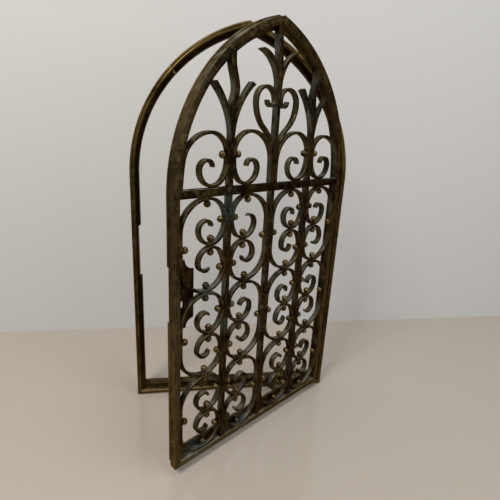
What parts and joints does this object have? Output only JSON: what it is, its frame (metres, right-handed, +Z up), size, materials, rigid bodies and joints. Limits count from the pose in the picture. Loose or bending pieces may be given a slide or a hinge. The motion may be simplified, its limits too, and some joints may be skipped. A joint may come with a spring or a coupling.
{
  "type": "arched window grille",
  "caption": "Pointed-arch bronze window grille: a moulded surround with a hinged leaf of bars, C-scrolls, round studs and forged leaves.",
  "frame": {"origin": "middle of the surround's foot, on the surface it stands on", "axes": "+X along the surround towards the hinges, +Y back into the wall, +Z up"},
  "size_m": [0.308, 0.1854, 0.5506],
  "materials": {
    "surround": "dark patinated bronze, worn olive and golden on the edges",
    "leaf_frame": "dark patinated bronze with brown lap edge",
    "transom": "dark patinated bronze, mottled",
    "bars": "dark forged bronze",
    "scrolls": "dark forged bronze with blue-grey sheen",
    "studs": "rubbed golden-brown bronze",
    "lock": "reddish-brown bronze plate",
    "hinges": "dark bronze"
  },
  "bodies": {
    "surround": {"surround_bottom_rail": "surround", "surround_left_stile": "surround", "surround_left_arch": "surround", "surround_right_arch": "surround", "surround_right_stile": "surround", "hinge_surround_plates": "hinges", "hinge_pins": "hinges"},
    "leaf": {"leaf_left_stile": "leaf_frame", "leaf_right_stile": "leaf_frame", "leaf_bottom_rail": "leaf_frame", "transom": "transom", "bar_left": "bars", "bar_centre": "bars", "bar_right": "bars", "leaf_1_left": "bars", "leaf_1_right": "bars", "leaf_2_left": "bars", "leaf_2_right": "bars", "leaf_3_left": "bars", "leaf_3_right": "bars", "heart_scroll_left": "scrolls", "heart_scroll_right": "scrolls", "lock_plate": "lock", "lock_boss": "lock", "lock_side_screws": "lock", "hinge_leaf_plates": "hinges", "column_1_scrolls": "scrolls", "column_1_studs": "studs", "column_2_scrolls": "scrolls", "column_2_studs": "studs", "column_3_scrolls": "scrolls", "column_3_studs": "studs", "column_4_scrolls": "scrolls", "column_4_studs": "studs"}
  },
  "joints": [
    {"name": "leaf_hinge", "type": "hinge", "parent": "surround", "child": "leaf", "pos_m": [0.146, -0.013, 0], "axis": [0, 0, 1], "range_deg": [-33.9, 76.1]}
  ]
}
